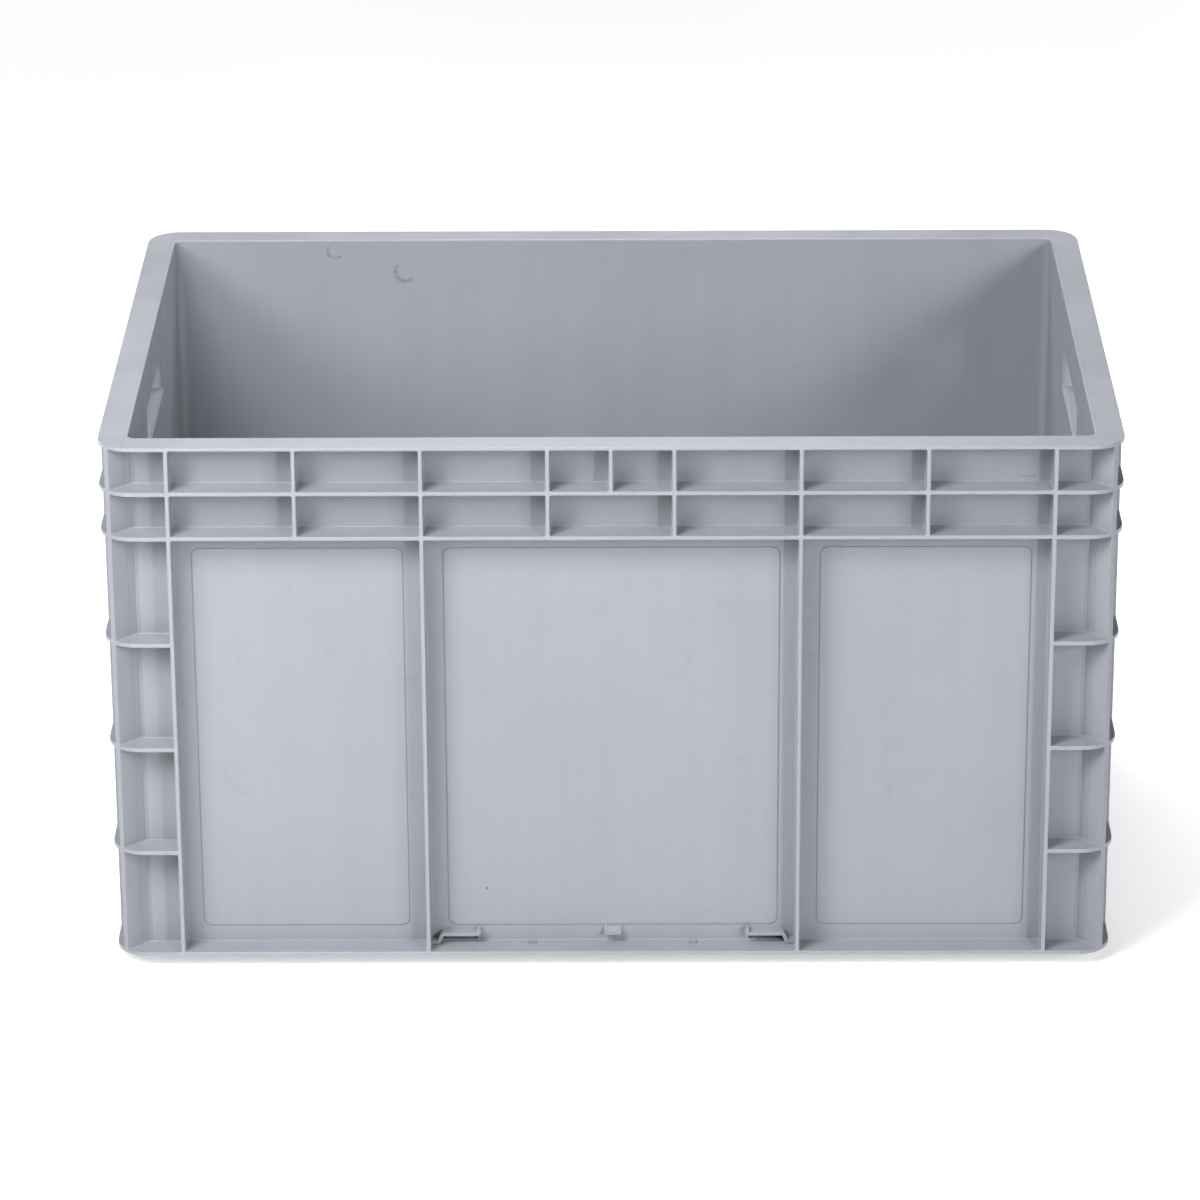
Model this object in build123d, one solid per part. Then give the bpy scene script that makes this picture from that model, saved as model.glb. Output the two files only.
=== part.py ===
from build123d import *
import os

# Open stacking crate on the 600 x 400 mm Euro footprint, moulded in one shot of polypropylene.
# Millimetres. The origin is the middle of the crate's underside, +X runs along its length, +Y to
# its rear and +Z up. Heights named LEVEL are measured from the underside of the base flange.

# Envelope: the rim, every rib and the base flange end on this one rounded box.
LENGTH = 600.0
WIDTH = 400.0
STACK_PITCH = 327.0
FOOT_HEIGHT = 8.0
CORNER_RADIUS = 20.0

# Tub
SIDE_RIB_DEPTH = 16.0
END_RIB_DEPTH = 15.1
WALL_THICKNESS = 2.4
TUB_CORNER_RADIUS = 7.5
INNER_DRAFT_DEG = 0.2
FLOOR_THICKNESS = 3.0
FLOOR_FILLET = 4.0
RIM_OUTER_ROUND = 0.9
RIM_INNER_ROUND = 1.0

# Ribs
RIM_UNDERSIDE_LEVEL = 325.0
BAND_PITCH = 27.95
FLANGE_THICKNESS = 2.4
HORIZONTAL_RIB = 2.4
VERTICAL_RIB = 2.3
CORNER_WEB = 3.8
WEB_CUT_LENGTH = 160.0
RIB_DRAFT_DEG = 1.0
CELL_CORNER_RADIUS = 1.2
ROOT_RADIUS = 0.6
EDGE_BREAK = 0.35
CORNER_CELLS_BELOW_BANDS = 4
SIDE_RIB_PITCH = 74.0
CORNER_CELL_LENGTH = 41.0
END_HANDLE_RIB = 57.0

# Panel fields
FIELD_MARGIN = 10.6
FIELD_RADIUS = 5.0
FIELD_GROOVE_WIDTH = 0.7
FIELD_GROOVE_DEPTH = 0.4

# Hand-holes: the cell between the two bands, open through the wall, with an eased inner lip
HAND_HOLE_LIP = 1.2

# Label holder
CLIP_REACH = 6.0
CLIP_THICKNESS = 2.1
CLIP_LOW_LEVEL = 4.0
CLIP_HIGH_LEVEL = 9.2
CLIP_TIP_LEVEL = 12.5
CLIP_STEP_X = 105.2
CLIP_LEDGE_X = 103.0
CLIP_TIP_X = 81.0
CLIP_BEND_RADIUS = 1.2
SLOT_START_X = 82.0
SLOT_END_X = 103.6
SLOT_LOW_LEVEL = 3.2
STOP_WIDTH = 9.8
STOP_LOW_LEVEL = 8.2
STOP_TOP_LEVEL = 12.4
STOP_REACH = 5.0
STOP_FRAME = 1.3
STOP_SINK = 1.2
FLANGE_HOLE_X = 48.6
FLANGE_HOLE_WIDTH = 5.5
FLANGE_HOLE_DEPTH = 5.0
FLANGE_HOLE_INSET = 10.7
BURIED = WALL_THICKNESS / 2

# Stacking foot
FOOT_CLEARANCE = 1.5
FOOT_WALL = 3.0
FOOT_CHAMFER = 1.5
GRID_HEIGHT = 6.0
GRID_RIB = 2.4
GRID_ROWS = (-120.0, -60.0, 0.0, 60.0, 120.0)

# Worked out from the sizes above
TUB_LENGTH = LENGTH - 2 * END_RIB_DEPTH
TUB_WIDTH = WIDTH - 2 * SIDE_RIB_DEPTH
INNER_LENGTH = TUB_LENGTH - 2 * WALL_THICKNESS
INNER_WIDTH = TUB_WIDTH - 2 * WALL_THICKNESS
INNER_RADIUS = TUB_CORNER_RADIUS - WALL_THICKNESS
FRONT_WALL_Y = -TUB_WIDTH / 2
RIM_TOP = FOOT_HEIGHT + STACK_PITCH
BAND_LEVELS = [RIM_UNDERSIDE_LEVEL - BAND_PITCH * n for n in (1, 2)]
CORNER_PITCH = BAND_LEVELS[1] / CORNER_CELLS_BELOW_BANDS
SIDE_RIBS = [SIDE_RIB_PITCH * (n + 0.5) for n in range(4)]
END_CORNER_RIB = WIDTH / 2 - CORNER_CELL_LENGTH
END_BAND_RIB = (END_CORNER_RIB + END_HANDLE_RIB) / 2
OVERCUT = 1.0


def height(level):
    """Z of a level counted from the underside of the base flange."""
    return FOOT_HEIGHT + level


def rounded_block(length, width, radius, bottom, top):
    """Upright box with rounded corners, centred on the Z axis."""
    outline = Plane.XY.offset(bottom) * RectangleRounded(length, width, radius)
    return extrude(outline, amount=top - bottom)


def envelope():
    """The solid rounded box that the ribs are cut from, with its top outer edge eased."""
    block = rounded_block(LENGTH, WIDTH, CORNER_RADIUS, height(0), RIM_TOP)
    return fillet(block.faces().sort_by(Axis.Z)[-1].edges(), RIM_OUTER_ROUND)


def cavity():
    """The storage space: drafted walls and eased floor edges."""
    mouth = Plane.XY.offset(RIM_TOP) * RectangleRounded(INNER_LENGTH, INNER_WIDTH, INNER_RADIUS)
    depth = STACK_PITCH - FLOOR_THICKNESS
    space = extrude(mouth, amount=depth, dir=(0, 0, -1), taper=INNER_DRAFT_DEG)
    space = fillet(space.faces().sort_by(Axis.Z)[0].edges(), FLOOR_FILLET)
    return space + extrude(mouth, amount=OVERCUT)


def tub():
    """The solid box with its storage space, and the inner edge of the rim eased."""
    block = envelope() - cavity()
    rim = block.faces().sort_by(Axis.Z)[-1]
    return fillet(rim.inner_wires()[0].edges(), RIM_INNER_ROUND)


def inward_plane(x, y, z):
    """Plane that faces +Y, for outlines that are cut into a face lying on the local plane Y = 0."""
    return Plane(origin=(x, y, z), x_dir=(-1, 0, 0), z_dir=(0, 1, 0))


def rib_pocket(width, tall, depth):
    """Space between four ribs. Its mouth lies on the local plane Y = 0 and it runs along +Y."""
    outline = inward_plane(0, EDGE_BREAK, 0) * RectangleRounded(width, tall, CELL_CORNER_RADIUS)
    pocket = extrude(outline, amount=depth - EDGE_BREAK, taper=RIB_DRAFT_DEG)
    pocket = fillet(pocket.faces().sort_by(Axis.Y)[-1].edges(), ROOT_RADIUS)
    flare = extrude(outline, amount=EDGE_BREAK + OVERCUT, dir=(0, -1, 0), taper=-45)
    return pocket + flare


def spans(stops, thickness):
    """Middle and clear width of each gap between neighbouring ribs."""
    gaps = zip(stops[:-1], stops[1:])
    return [((low + high) / 2, high - low - thickness) for low, high in gaps]


def mirrored(distances):
    """The given distances on both sides of the middle, from low to high."""
    return sorted([-d for d in distances if d] + list(distances))


def rows(first_row_ribs, second_row_ribs, panel_ribs):
    """Rib stops and the clear height of each row: two bands of cells above one row of panels."""
    first, second = BAND_LEVELS
    return [
        (mirrored(first_row_ribs), first + HORIZONTAL_RIB, RIM_UNDERSIDE_LEVEL),
        (mirrored(second_row_ribs), second + HORIZONTAL_RIB, first),
        (mirrored(panel_ribs), FLANGE_THICKNESS, second),
    ]


SIDE_ROWS = rows([0.0] + SIDE_RIBS, SIDE_RIBS, [SIDE_RIBS[1], SIDE_RIBS[3]])
END_ROWS = rows(
    [0.0, END_HANDLE_RIB, END_BAND_RIB, END_CORNER_RIB],
    [END_HANDLE_RIB, END_BAND_RIB, END_CORNER_RIB],
    [END_HANDLE_RIB, END_CORNER_RIB],
)


def face_pockets(face_rows, depth):
    """Every pocket of one face, with the face on the local plane Y = 0."""
    pockets = []
    for stops, low, high in face_rows:
        for middle, width in spans(stops, VERTICAL_RIB):
            place = Location((middle, 0, height((low + high) / 2)))
            pockets.append(place * rib_pocket(width, high - low, depth))
    return pockets


def panel_fields(face_rows, depth):
    """Fine grooves that frame the large panels, with the face on the local plane Y = 0."""
    stops, low, high = face_rows[-1]
    tall = high - low - 2 * FIELD_MARGIN
    grooves = []
    for middle, width in spans(stops, VERTICAL_RIB):
        wall = inward_plane(middle, depth, height((low + high) / 2))
        across = width - 2 * FIELD_MARGIN
        outline = RectangleRounded(across, tall, FIELD_RADIUS)
        groove = offset(outline, FIELD_GROOVE_WIDTH / 2) - offset(outline, -FIELD_GROOVE_WIDTH / 2)
        grooves.append(extrude(wall * groove, amount=FIELD_GROOVE_DEPTH))
    return grooves


def on_sides(tools):
    """Places face tools on the front and the rear."""
    front = Location((0, -WIDTH / 2, 0))
    rear = Location((0, WIDTH / 2, 0), (0, 0, 180))
    return [place * tool for place in (front, rear) for tool in tools]


def on_ends(tools):
    """Places face tools on the left and the right end."""
    left = Location((-LENGTH / 2, 0, 0), (0, 0, -90))
    right = Location((LENGTH / 2, 0, 0), (0, 0, 90))
    return [place * tool for place in (left, right) for tool in tools]


def corner_cell_levels():
    """Clear low and high level of each cell in the stack at a corner."""
    first, second = BAND_LEVELS
    floors = [FLANGE_THICKNESS]
    floors += [CORNER_PITCH * n + HORIZONTAL_RIB for n in range(1, CORNER_CELLS_BELOW_BANDS)]
    floors += [second + HORIZONTAL_RIB, first + HORIZONTAL_RIB]
    roofs = [CORNER_PITCH * (n + 1) for n in range(CORNER_CELLS_BELOW_BANDS)]
    roofs += [first, RIM_UNDERSIDE_LEVEL]
    return list(zip(floors, roofs))


def corner_cell_plans():
    """The two cell outlines at the front right corner, one each side of the diagonal web."""
    walls = RectangleRounded(TUB_LENGTH, TUB_WIDTH, TUB_CORNER_RADIUS)
    side = CORNER_CELL_LENGTH - VERTICAL_RIB / 2 + OVERCUT
    middle = Location((LENGTH / 2 + OVERCUT - side / 2, -WIDTH / 2 - OVERCUT + side / 2))
    web = Location((LENGTH / 2, -WIDTH / 2), (0, 0, -45)) * Rectangle(WEB_CUT_LENGTH, CORNER_WEB)
    cells = middle * Rectangle(side, side) - walls - web
    return cells.faces()


def corner_pockets():
    """Cells of all four corners, stacked between the horizontal ribs."""
    pockets = []
    for plan in corner_cell_plans():
        for low, high in corner_cell_levels():
            cell = extrude(Plane.XY.offset(height(low)) * plan, amount=high - low)
            inner = cell.edges().filter_by(Axis.Z).filter_by(
                lambda edge: abs(edge.center().X) < LENGTH / 2 and abs(edge.center().Y) < WIDTH / 2
            )
            cell = fillet(inner, CELL_CORNER_RADIUS)
            ends = cell.faces().filter_by(Axis.Z).edges()
            pockets.append(fillet(ends, ROOT_RADIUS))
    pockets += [pocket.mirror(Plane.YZ) for pocket in pockets]
    pockets += [pocket.mirror(Plane.XZ) for pocket in pockets]
    return pockets


def hand_hole():
    """Opening through an end wall, between the two bands, on the local plane Y = 0."""
    first, second = BAND_LEVELS
    low = second + HORIZONTAL_RIB
    middle = height((low + first) / 2)
    width = 2 * END_HANDLE_RIB - VERTICAL_RIB
    tall = first - low
    outline = RectangleRounded(width, tall, CELL_CORNER_RADIUS)
    depth = END_RIB_DEPTH + WALL_THICKNESS
    opening = extrude(inward_plane(0, EDGE_BREAK, middle) * outline, amount=depth, taper=RIB_DRAFT_DEG)
    lip = inward_plane(0, depth - HAND_HOLE_LIP, middle) * outline
    return opening + extrude(lip, amount=HAND_HOLE_LIP + OVERCUT, taper=-45)


def label_clip():
    """Stepped ledge with an upturned tip that holds one end of a label, right of the middle."""
    rib = SIDE_RIBS[1] - VERTICAL_RIB / 4
    path = FilletPolyline(
        (rib, CLIP_LOW_LEVEL),
        (CLIP_STEP_X, CLIP_LOW_LEVEL),
        (CLIP_LEDGE_X, CLIP_HIGH_LEVEL),
        (CLIP_TIP_X, CLIP_HIGH_LEVEL),
        (CLIP_TIP_X, CLIP_TIP_LEVEL),
        radius=CLIP_BEND_RADIUS,
    )
    root = Plane(origin=(0, FRONT_WALL_Y + BURIED, height(0)), x_dir=(1, 0, 0), z_dir=(0, -1, 0))
    return extrude(root * trace(path, CLIP_THICKNESS), amount=CLIP_REACH + BURIED)


def label_slot():
    """Opening in the front wall behind and below one label clip."""
    high = CLIP_HIGH_LEVEL - CLIP_THICKNESS / 2
    middle_x = (SLOT_START_X + SLOT_END_X) / 2
    middle_z = height((SLOT_LOW_LEVEL + high) / 2)
    opening = Box(SLOT_END_X - SLOT_START_X, WALL_THICKNESS + 2 * OVERCUT, high - SLOT_LOW_LEVEL)
    return Location((middle_x, FRONT_WALL_Y + WALL_THICKNESS / 2, middle_z)) * opening


def label_stop():
    """Ramp in the middle of the front panel that a label snaps behind, with a sunk face."""
    front = FRONT_WALL_Y - STOP_REACH
    foot = height(STOP_LOW_LEVEL)
    sill = foot + STOP_FRAME
    top = height(STOP_TOP_LEVEL)
    root = FRONT_WALL_Y + BURIED
    outline = Polyline(
        (root, foot),
        (front, foot),
        (front, sill),
        (FRONT_WALL_Y, top),
        (root, top),
        close=True,
    )
    sunk = Polyline(
        (front - OVERCUT, sill),
        (front + STOP_SINK, sill),
        (FRONT_WALL_Y + STOP_SINK, top),
        (front - OVERCUT, top + OVERCUT),
        close=True,
    )
    ramp = extrude(Plane.YZ * make_face(outline), amount=STOP_WIDTH / 2, both=True)
    return ramp - extrude(Plane.YZ * make_face(sunk), amount=STOP_WIDTH / 2 - STOP_FRAME, both=True)


def flange_hole():
    """Small rectangular hole through the base flange, right of the middle."""
    hole = Box(FLANGE_HOLE_WIDTH, FLANGE_HOLE_DEPTH, FLANGE_THICKNESS + 2 * OVERCUT)
    middle_y = -WIDTH / 2 + FLANGE_HOLE_INSET + FLANGE_HOLE_DEPTH / 2
    return Location((FLANGE_HOLE_X, middle_y, height(FLANGE_THICKNESS / 2))) * hole


def both_halves(piece):
    """A piece and its mirror image left of the middle."""
    return [piece, piece.mirror(Plane.YZ)]


def stacking_foot():
    """Ring under the floor that drops inside the rim of the crate below, with its grid of ribs."""
    length = INNER_LENGTH - 2 * FOOT_CLEARANCE
    width = INNER_WIDTH - 2 * FOOT_CLEARANCE
    overlap = FLANGE_THICKNESS / 2
    ring = rounded_block(length, width, INNER_RADIUS, 0, height(overlap))
    ring = chamfer(ring.faces().sort_by(Axis.Z)[0].edges(), FOOT_CHAMFER)
    inside_length = length - 2 * FOOT_WALL
    inside_width = width - 2 * FOOT_WALL
    inside = rounded_block(inside_length, inside_width, INNER_RADIUS - FOOT_WALL / 2, -OVERCUT, height(0))
    foot = ring - inside
    tall = GRID_HEIGHT + overlap
    middle = height(overlap) - tall / 2
    for x in mirrored(SIDE_RIBS[:3]):
        foot += Location((x, 0, middle)) * Box(GRID_RIB, inside_width + FOOT_WALL, tall)
    for y in GRID_ROWS:
        foot += Location((0, y, middle)) * Box(inside_length + FOOT_WALL, GRID_RIB, tall)
    return foot


def crate_body():
    """The whole moulding: tub less pockets, grooves and openings, plus foot and label holder."""
    sides = face_pockets(SIDE_ROWS, SIDE_RIB_DEPTH) + panel_fields(SIDE_ROWS, SIDE_RIB_DEPTH)
    ends = face_pockets(END_ROWS, END_RIB_DEPTH) + panel_fields(END_ROWS, END_RIB_DEPTH) + [hand_hole()]
    body = tub() - on_sides(sides) - on_ends(ends) - corner_pockets()
    body += [stacking_foot(), label_stop()] + both_halves(label_clip())
    return body - both_halves(label_slot()) - both_halves(flange_hole())


os.makedirs("parts", exist_ok=True)
export_step(crate_body(), "parts/crate_body.step")
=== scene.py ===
import math

import bpy
from mathutils import Matrix, Vector


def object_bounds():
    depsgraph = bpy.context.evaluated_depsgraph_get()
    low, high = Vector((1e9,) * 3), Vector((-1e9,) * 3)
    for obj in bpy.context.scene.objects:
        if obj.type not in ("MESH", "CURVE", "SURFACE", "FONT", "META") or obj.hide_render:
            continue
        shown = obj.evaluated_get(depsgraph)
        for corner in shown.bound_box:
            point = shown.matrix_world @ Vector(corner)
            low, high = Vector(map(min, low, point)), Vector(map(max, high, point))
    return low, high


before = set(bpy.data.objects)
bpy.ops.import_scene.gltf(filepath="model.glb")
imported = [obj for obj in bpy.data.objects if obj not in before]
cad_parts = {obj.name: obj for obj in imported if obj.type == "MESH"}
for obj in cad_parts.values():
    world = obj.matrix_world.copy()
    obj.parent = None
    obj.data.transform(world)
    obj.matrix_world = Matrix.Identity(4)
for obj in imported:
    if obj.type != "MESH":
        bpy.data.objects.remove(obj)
CAD_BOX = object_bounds()

# Open stacking crate in as-moulded grey polypropylene. Blender works in metres, in the frame of the
# CAD model: X along the crate, Y from the label side to the rear, Z up from under the foot.
MM = 0.001
LOW, HIGH = CAD_BOX
CENTRE = (LOW + HIGH) / 2

# Camera: a long lens in front of the label side, looking down into the crate. Angles in degrees.
SENSOR_WIDTH_MM = 36.0
LENS_MM = 161.5
CAMERA_DISTANCE = 3.376
CAMERA_ELEVATION = 22.235
CAMERA_AZIMUTH = 0.401
CAMERA_ROLL = -0.299
CAMERA_RANGE = (0.1, 50.0)
AIM = CENTRE + Vector((-8.1 * MM, 0, -9.8 * MM))

# Surroundings: strength of the even light that fills the deepest shadows, and of the pale backdrop
DAYLIGHT = 0.03
BACKDROP = 0.92

# Variations over a surface. Scale is in features per metre, along each axis where there are three;
# span is the stretch of the noise that counts, and ends are the values it is taken to.
FLOOR_MOTTLE = dict(scale=3.0, span=(0.3, 0.7), ends=(0.88, 0.90))
CLOUDS = dict(scale=7.0, detail=3.0, roughness=0.55, span=(0.3, 0.7), ends=(0.975, 1.02))
STAINS = dict(scale=38.0, detail=5.0, roughness=0.6, distortion=0.6, span=(0.58, 0.78), ends=(1.0, 0.93))
FLOW_MARKS = dict(scale=(60.0, 60.0, 3.0), detail=3.0, roughness=0.6, span=(0.35, 0.7), ends=(1.01, 0.985))
GRAIN = dict(scale=900.0, detail=2.0, roughness=0.6, span=(0.25, 0.75), ends=(0.985, 1.015))
WIPED = dict(scale=(300.0, 300.0, 500.0), detail=3.0, span=(0.35, 0.6), ends=(0.1, 0.36))
SATIN = dict(scale=22.0, detail=4.0, roughness=0.6, distortion=0.3, span=(0.35, 0.7), ends=(0.40, 0.52))
SCUFFS = dict(scale=(40.0, 40.0, 700.0), detail=4.0, roughness=0.7, span=(0.6, 0.75), ends=(0.0, 0.10))

# Floor: the white it is lifted towards where it is seen directly, near the crate and far from it
FLOOR_HALF = 6.0
FLOOR_GLOW = (0.42, 0.9)
FLOOR_GLOW_RISE = (1.2, 3.0)
FLOOR_ROUGHNESS = 0.9
FLOOR_SPECULAR = 0.2

# Plastic: colour, gloss, and how light passes through its skin
PLASTIC_COLOUR = (0.300, 0.312, 0.346)
PLASTIC_IOR = 1.49
SKIN_DEPTH = MM
SKIN_SPREAD = (2.0, 2.0, 2.2)
SKIN_WEIGHT = 0.08

# Relief: orange peel, slow ripples, and upright marks left as the moulding is drawn from its tool
ORANGE_PEEL = dict(scale=520.0, detail=3.0)
RIPPLES = dict(scale=28.0, roughness=0.4)
RIPPLE_SHARE = 6.0
DRAW_MARKS = dict(scale=(900.0, 900.0, 12.0))
DRAW_MARK_SHARE = 0.5
RELIEF_STRENGTH = 0.35
RELIEF_HEIGHT = 0.03 * MM

# Specks: a dot in a few of the cells that fill the plastic, its radius as a share of a cell
SPECK_CELLS_PER_M = 26.0
SPECK_CHOICE = (0.965, 0.97)
SPECK_EDGE = (0.012, 0.02)
SPECK_DARKNESS = 0.7

# Bands in millimetres: middle, reach to each side, and blur of the edge
REAR_WALL_INSIDE = (181.0, 3.0, 1.0)
LABEL_SIDE = (-184.0, 0.6, 0.4)
SIDE_GROOVE = (183.7, 0.2, 0.2)
END_GROOVE = (284.6, 0.2, 0.2)

# Painted light and shade: the last millimetre below the crate's outline is painted paler as a painted
# highlight on the outermost faces; painted shade darkens the grooves
SIDE_PAINTED_LIGHT_MM = (199.0, 199.8)
END_PAINTED_LIGHT_MM = (299.0, 299.8)
OUTER_FACE_PAINTED_LIGHT = 0.09
GROOVE_PAINTED_SHADE = 0.15

# Marks of this one crate, in millimetres
SMALL_SMEAR = dict(x=-179.5, z=328.0, radius=5.0, width=1.6)
LARGE_SMEAR = dict(x=-134.5, z=313.5, radius=6.3, width=2.4)
SMEAR_END_FADE_MM = 1.5
PANEL_SPECK = {"X": (-75.8, 0.5, 0.4), "Z": (45.3, 0.6, 0.4), "Y": LABEL_SIDE}
PANEL_SPECK_DARKNESS = 0.85
SCRATCH = {"X": (243.5, 5.0, 3.0), "Z": (310.5, 0.2, 0.3), "Y": LABEL_SIDE}
SCRATCH_DARKNESS = 0.45


def direction(azimuth, elevation):
    """Unit vector from the crate towards a place in front of it; azimuth turns it to the right."""
    a = math.radians(azimuth)
    e = math.radians(elevation)
    return Vector((math.sin(a) * math.cos(e), -math.cos(a) * math.cos(e), math.sin(e)))


class Nodes:
    """Short way to add the shader nodes of a material or world and to wire them."""

    def __init__(self, owner):
        owner.use_nodes = True
        self.tree = owner.node_tree
        self.tree.nodes.clear()

    def feed(self, socket, value):
        """Wire an output into a socket, or set the socket to a plain value."""
        if isinstance(value, bpy.types.NodeSocket):
            self.tree.links.new(value, socket)
        else:
            socket.default_value = value

    def add(self, kind, inputs=None, **settings):
        """New node with its settings and inputs; inputs are named or numbered."""
        node = self.tree.nodes.new(kind)
        for name, value in settings.items():
            setattr(node, name, value)
        for name, value in (inputs or {}).items():
            self.feed(node.inputs[name], value)
        return node

    def maths(self, operation, *values):
        """Result of one maths node."""
        node = self.add("ShaderNodeMath", operation=operation)
        for slot, value in enumerate(values):
            self.feed(node.inputs[slot], value)
        return node.outputs[0]

    def product(self, first, *others):
        """All the values multiplied together."""
        result = first
        for value in others:
            result = self.maths("MULTIPLY", result, value)
        return result

    def ramp(self, value, span, ends):
        """Smooth step from the first of the ends to the second, as the value crosses the span."""
        inputs = {"Value": value, "From Min": span[0], "From Max": span[1]}
        inputs |= {"To Min": ends[0], "To Max": ends[1]}
        node = self.add("ShaderNodeMapRange", inputs, interpolation_type="SMOOTHSTEP")
        return node.outputs["Result"]

    def noise(self, place, scale, detail=2.0, roughness=0.5, distortion=0.0):
        """Smooth noise around 0.5, stretched where the scale differs along the axes."""
        if isinstance(scale, tuple):
            place = self.add("ShaderNodeMapping", {"Vector": place, "Scale": scale}).outputs["Vector"]
            scale = 1.0
        inputs = {"Vector": place, "Scale": scale, "Detail": detail}
        inputs |= {"Roughness": roughness, "Distortion": distortion}
        return self.add("ShaderNodeTexNoise", inputs).outputs["Fac"]

    def variation(self, place, span, ends, **noise):
        """Noise taken from a span of its values to the values at the ends."""
        return self.ramp(self.noise(place, **noise), span, ends)


def near(n, value, middle, reach, blur):
    """1 where a value lies in a band, falling to 0 over the blur of its edge; band in millimetres."""
    away = n.maths("ABSOLUTE", n.maths("SUBTRACT", value, middle * MM))
    return n.ramp(away, ((reach - blur / 2) * MM, (reach + blur / 2) * MM), (1.0, 0.0))


def patch(n, spot, bands):
    """Mask of the place where each named axis lies in its band."""
    return n.product(*(near(n, spot[axis], *band) for axis, band in bands.items()))


def hook_smear(n, spot, x, z, radius, width):
    """Mask of a hook-shaped smear on the inner rear wall: the lower left half of a thin ring."""
    right = n.maths("SUBTRACT", spot["X"], x * MM)
    up = n.maths("SUBTRACT", spot["Z"], z * MM)
    squares = n.maths("ADD", n.maths("MULTIPLY", right, right), n.maths("MULTIPLY", up, up))
    ring = near(n, n.maths("SQRT", squares), radius, width / 2, width)
    fade = (-SMEAR_END_FADE_MM * MM, SMEAR_END_FADE_MM * MM)
    half = n.ramp(n.maths("ADD", right, up), fade, (1.0, 0.0))
    return n.product(ring, half, near(n, spot["Y"], *REAR_WALL_INSIDE))


def wall_marks(n, spot):
    """Tone of this crate's few marks: two wiped smears inside, a speck on a panel and a scratch."""
    masks = n.maths("ADD", hook_smear(n, spot, **SMALL_SMEAR), hook_smear(n, spot, **LARGE_SMEAR))
    smears = n.maths("MULTIPLY", masks, n.variation(spot["place"], **WIPED))
    speck = n.maths("MULTIPLY", patch(n, spot, PANEL_SPECK), PANEL_SPECK_DARKNESS)
    front = n.maths("MULTIPLY_ADD", patch(n, spot, SCRATCH), SCRATCH_DARKNESS, speck)
    return n.maths("SUBTRACT", 1.0, n.maths("ADD", smears, front))


def painted_groove_shade(n, spot):
    """Tone of painted shade: the plastic is painted slightly darker inside the fine grooves that frame the
    panels.
    """
    sides = near(n, n.maths("ABSOLUTE", spot["Y"]), *SIDE_GROOVE)
    ends = near(n, n.maths("ABSOLUTE", spot["X"]), *END_GROOVE)
    painted_shade = n.maths("MULTIPLY", n.maths("MAXIMUM", sides, ends), GROOVE_PAINTED_SHADE)
    return n.maths("SUBTRACT", 1.0, painted_shade)


def painted_outer_face_light(n, spot):
    """Tone of the painted highlight: the outermost faces, the rim's sides and the rib ends, are painted
    paler for the light they catch.
    """
    masks = []
    for axis, (start, full) in (("Y", SIDE_PAINTED_LIGHT_MM), ("X", END_PAINTED_LIGHT_MM)):
        outwards = n.maths("ABSOLUTE", spot[axis])
        masks.append(n.ramp(outwards, (start * MM, full * MM), (0.0, 1.0)))
    return n.maths("MULTIPLY_ADD", n.maths("MAXIMUM", *masks), OUTER_FACE_PAINTED_LIGHT, 1.0)


def specks(n, place):
    """Tone of the rare dark specks."""
    cells = n.add("ShaderNodeTexVoronoi", {"Vector": place, "Scale": SPECK_CELLS_PER_M})
    draw = n.add("ShaderNodeSeparateColor", {"Color": cells.outputs["Color"]}).outputs[0]
    chosen = n.ramp(draw, SPECK_CHOICE, (0.0, 1.0))
    dot = n.ramp(cells.outputs["Distance"], SPECK_EDGE, (1.0, 0.0))
    return n.maths("SUBTRACT", 1.0, n.product(chosen, dot, SPECK_DARKNESS))


def plastic_tone(n, place):
    """Factor on the plastic's colour, from all its variations and marks, with painted shade in the grooves
    and a painted highlight on the outermost faces.
    """
    axes = n.add("ShaderNodeSeparateXYZ", {"Vector": place}).outputs
    spot = {"X": axes["X"], "Y": axes["Y"], "Z": axes["Z"], "place": place}
    moulding = [n.variation(place, **kind) for kind in (CLOUDS, STAINS, FLOW_MARKS, GRAIN)]
    # The smears, speck and scratch are the crate's own marks; the groove tone is painted shade and the
    # outer-face tone is a painted highlight
    marks_and_painted_light = (wall_marks(n, spot), painted_groove_shade(n, spot), painted_outer_face_light(n, spot))
    return n.product(*moulding, specks(n, place), *marks_and_painted_light)


def plastic_relief(n, place):
    """Normal of the surface with its orange peel, ripples and draw marks."""
    height = n.maths("MULTIPLY_ADD", n.noise(place, **RIPPLES), RIPPLE_SHARE, n.noise(place, **ORANGE_PEEL))
    height = n.maths("MULTIPLY_ADD", n.noise(place, **DRAW_MARKS), DRAW_MARK_SHARE, height)
    inputs = {"Height": height, "Strength": RELIEF_STRENGTH, "Distance": RELIEF_HEIGHT}
    return n.add("ShaderNodeBump", inputs).outputs["Normal"]


def moulded_plastic():
    """Satin polypropylene: fine tool grain, soft flow marks, handling stains, specks and scuffs."""
    material = bpy.data.materials.new("grey_polypropylene")
    n = Nodes(material)
    place = n.add("ShaderNodeTexCoord").outputs["Object"]
    tone = plastic_tone(n, place)
    shade = n.add("ShaderNodeCombineXYZ", {"X": tone, "Y": tone, "Z": tone}).outputs[0]
    base = n.add("ShaderNodeVectorMath", {0: PLASTIC_COLOUR, 1: shade}, operation="MULTIPLY")
    roughness = n.maths("ADD", n.variation(place, **SATIN), n.variation(place, **SCUFFS))
    shader = n.add(
        "ShaderNodeBsdfPrincipled",
        {
            "Base Color": base.outputs[0],
            "Roughness": roughness,
            "IOR": PLASTIC_IOR,
            "Normal": plastic_relief(n, place),
            "Subsurface Weight": SKIN_WEIGHT,
            "Subsurface Radius": SKIN_SPREAD,
            "Subsurface Scale": SKIN_DEPTH,
        },
    )
    n.add("ShaderNodeOutputMaterial", {"Surface": shader.outputs["BSDF"]})
    return material


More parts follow.
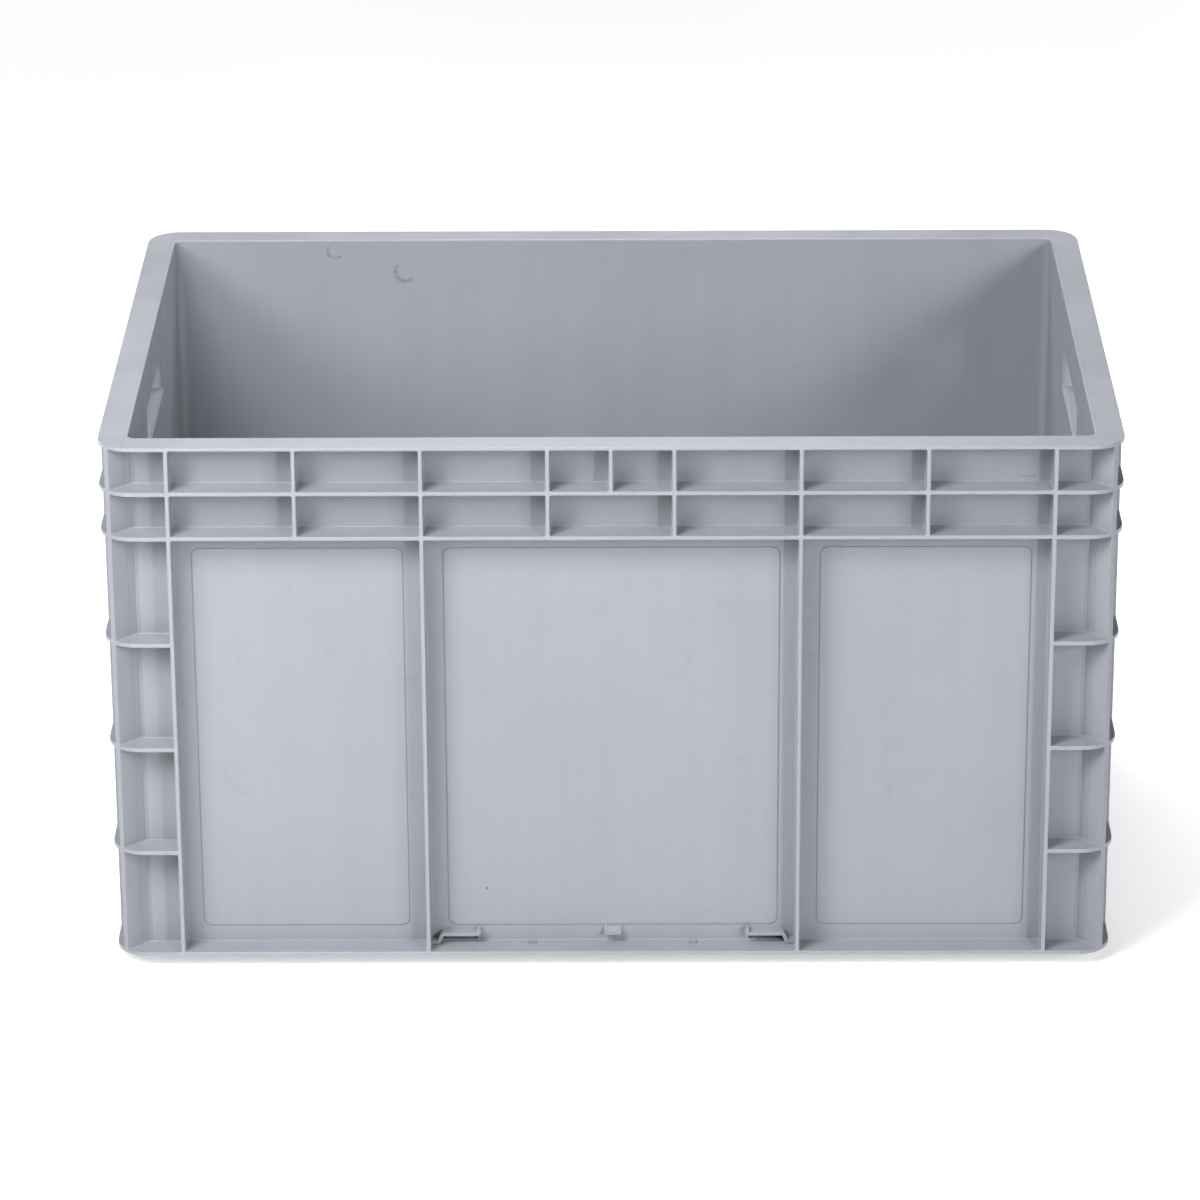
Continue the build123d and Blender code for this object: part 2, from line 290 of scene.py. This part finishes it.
def floor_material():
    """Pale matt studio floor with a barely visible mottle, fading to white in the distance."""
    material = bpy.data.materials.new("studio_floor")
    n = Nodes(material)
    place = n.add("ShaderNodeTexCoord").outputs["Object"]
    tone = n.variation(place, **FLOOR_MOTTLE)
    colour = n.add("ShaderNodeCombineColor", {0: tone, 1: tone, 2: tone}).outputs[0]
    seen = n.add("ShaderNodeLightPath").outputs["Is Camera Ray"]
    away = n.add("ShaderNodeVectorMath", {0: place}, operation="LENGTH").outputs["Value"]
    glow = n.ramp(away, FLOOR_GLOW_RISE, FLOOR_GLOW)
    shader = n.add(
        "ShaderNodeBsdfPrincipled",
        {
            "Base Color": colour,
            "Roughness": FLOOR_ROUGHNESS,
            "Specular IOR Level": FLOOR_SPECULAR,
            "Emission Color": (1.0, 1.0, 1.0, 1.0),
            "Emission Strength": n.maths("MULTIPLY", seen, glow),
        },
    )
    n.add("ShaderNodeOutputMaterial", {"Surface": shader.outputs["BSDF"]})
    return material


def studio_floor():
    """Wide floor under the crate."""
    mesh = bpy.data.meshes.new("floor")
    signs = ((-1, -1), (1, -1), (1, 1), (-1, 1))
    corners = [(x * FLOOR_HALF, y * FLOOR_HALF, LOW.z) for x, y in signs]
    mesh.from_pydata(corners, [], [(0, 1, 2, 3)])
    mesh.materials.append(floor_material())
    floor = bpy.data.objects.new("floor", mesh)
    bpy.context.scene.collection.objects.link(floor)


def softbox(name, azimuth, elevation, distance, size, power):
    """Rectangular light that faces the crate's middle; azimuth 0 is in front of the label side."""
    lamp = bpy.data.lights.new(name, "AREA")
    lamp.shape = "RECTANGLE"
    lamp.size, lamp.size_y = size
    lamp.energy = power
    light = bpy.data.objects.new(name, lamp)
    towards = direction(azimuth, elevation)
    light.location = CENTRE + towards * distance
    light.rotation_euler = towards.to_track_quat("Z", "Y").to_euler()
    bpy.context.scene.collection.objects.link(light)


def studio_lights():
    """Soft keys near on the left, a sharp strip and a wide fill on the right, and a soft one behind.

    The two level lights are for the outside of the rear and the ends; they stay below the rim.
    """
    softbox("key_high_left", azimuth=-30, elevation=47, distance=1.8, size=(0.55, 0.5), power=19)
    softbox("key_low_left", azimuth=-44, elevation=29, distance=1.5, size=(0.45, 0.4), power=10.7)
    softbox("strip_right", azimuth=28, elevation=15, distance=4.0, size=(0.25, 0.9), power=43)
    softbox("fill_right", azimuth=41, elevation=25, distance=4.0, size=(1.0, 0.8), power=40)
    softbox("low_right", azimuth=65, elevation=15, distance=2.6, size=(0.5, 0.5), power=2.5)
    softbox("back", azimuth=180, elevation=55, distance=1.5, size=(0.6, 0.5), power=17.5)
    softbox("level_rear_left", azimuth=-130, elevation=0, distance=3.5, size=(1.2, 0.28), power=60)
    softbox("level_rear_right", azimuth=130, elevation=0, distance=3.5, size=(1.2, 0.28), power=60)


def daylight():
    """Even white surroundings, weak as a light and pale where they are seen directly."""
    world = bpy.data.worlds.new("studio")
    n = Nodes(world)
    seen = n.add("ShaderNodeLightPath").outputs["Is Camera Ray"]
    level = n.maths("MULTIPLY_ADD", seen, BACKDROP - DAYLIGHT, DAYLIGHT)
    background = n.add("ShaderNodeBackground", {"Color": (1, 1, 1, 1), "Strength": level})
    n.add("ShaderNodeOutputWorld", {"Surface": background.outputs[0]})
    bpy.context.scene.world = world


def product_camera():
    """Camera at the catalogue view: in front of the label side and above the rim."""
    data = bpy.data.cameras.new("camera")
    data.sensor_width = SENSOR_WIDTH_MM
    data.lens = LENS_MM
    data.clip_start, data.clip_end = CAMERA_RANGE
    camera = bpy.data.objects.new("camera", data)
    ahead = -direction(CAMERA_AZIMUTH, CAMERA_ELEVATION)
    level = ahead.cross(Vector((0, 0, 1))).normalized()
    over = level.cross(ahead)
    turn = math.radians(CAMERA_ROLL)
    right = level * math.cos(turn) + over * math.sin(turn)
    up = over * math.cos(turn) - level * math.sin(turn)
    rotation = Matrix((right, up, -ahead)).transposed()
    camera.matrix_world = Matrix.Translation(AIM - ahead * CAMERA_DISTANCE) @ rotation.to_4x4()
    bpy.context.scene.collection.objects.link(camera)
    bpy.context.scene.camera = camera


def crate():
    """The CAD moulding in its plastic."""
    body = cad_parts["crate_body"]
    body.data.materials.clear()
    body.data.materials.append(moulded_plastic())


crate()
studio_floor()
daylight()
studio_lights()
product_camera()
bpy.context.scene.view_settings.view_transform = "Standard"
